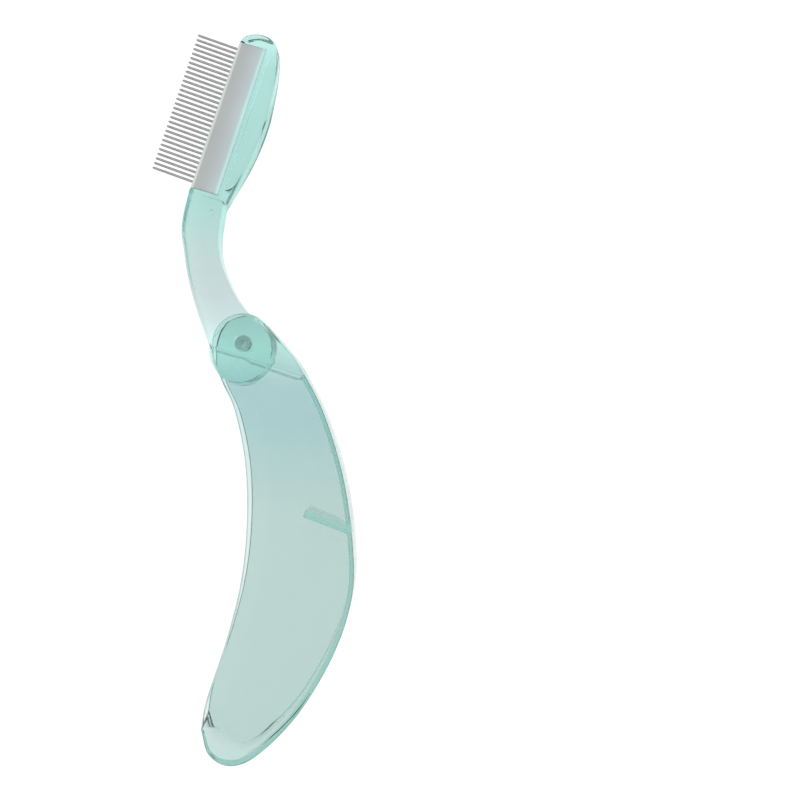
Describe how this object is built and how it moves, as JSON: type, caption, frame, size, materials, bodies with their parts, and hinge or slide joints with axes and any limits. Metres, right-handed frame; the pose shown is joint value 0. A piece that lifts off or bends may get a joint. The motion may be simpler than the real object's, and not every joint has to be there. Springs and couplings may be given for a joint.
{
  "type": "folding flea comb",
  "caption": "Folding flea comb: fine steel pins in a moulded bar, held by a curved clear arm that swings out of a clear crescent handle.",
  "frame": {"origin": "the pivot axis where it meets the flat underside of the handle", "axes": "+Y along the comb from the handle to the open head, +Z through the thickness, +X towards the back of the handle"},
  "size_m": [0.0571, 0.1957, 0.0125],
  "materials": {
    "clear_teal": "clear pale teal, polished",
    "clear_pin": "clear pale teal, polished",
    "grey_bar": "fine satin",
    "steel_pins": "drawn wire"
  },
  "bodies": {
    "handle": {"handle_shell": "clear_teal", "pivot_pin": "clear_pin"},
    "comb": {"comb_arm": "clear_teal", "comb_bar": "grey_bar", "tooth_01": "steel_pins", "tooth_02": "steel_pins", "tooth_03": "steel_pins", "tooth_04": "steel_pins", "tooth_05": "steel_pins", "tooth_06": "steel_pins", "tooth_07": "steel_pins", "tooth_08": "steel_pins", "tooth_09": "steel_pins", "tooth_10": "steel_pins", "tooth_11": "steel_pins", "tooth_12": "steel_pins", "tooth_13": "steel_pins", "tooth_14": "steel_pins", "tooth_15": "steel_pins", "tooth_16": "steel_pins", "tooth_17": "steel_pins", "tooth_18": "steel_pins", "tooth_19": "steel_pins", "tooth_20": "steel_pins", "tooth_21": "steel_pins", "tooth_22": "steel_pins", "tooth_23": "steel_pins", "tooth_24": "steel_pins", "tooth_25": "steel_pins", "tooth_26": "steel_pins", "tooth_27": "steel_pins", "tooth_28": "steel_pins", "tooth_29": "steel_pins", "tooth_30": "steel_pins"}
  },
  "joints": [
    {"name": "fold", "type": "hinge", "parent": "handle", "child": "comb", "pos_m": [0, 0, 0.00625], "axis": [0, 0, 1], "range_deg": [0, 176]}
  ]
}
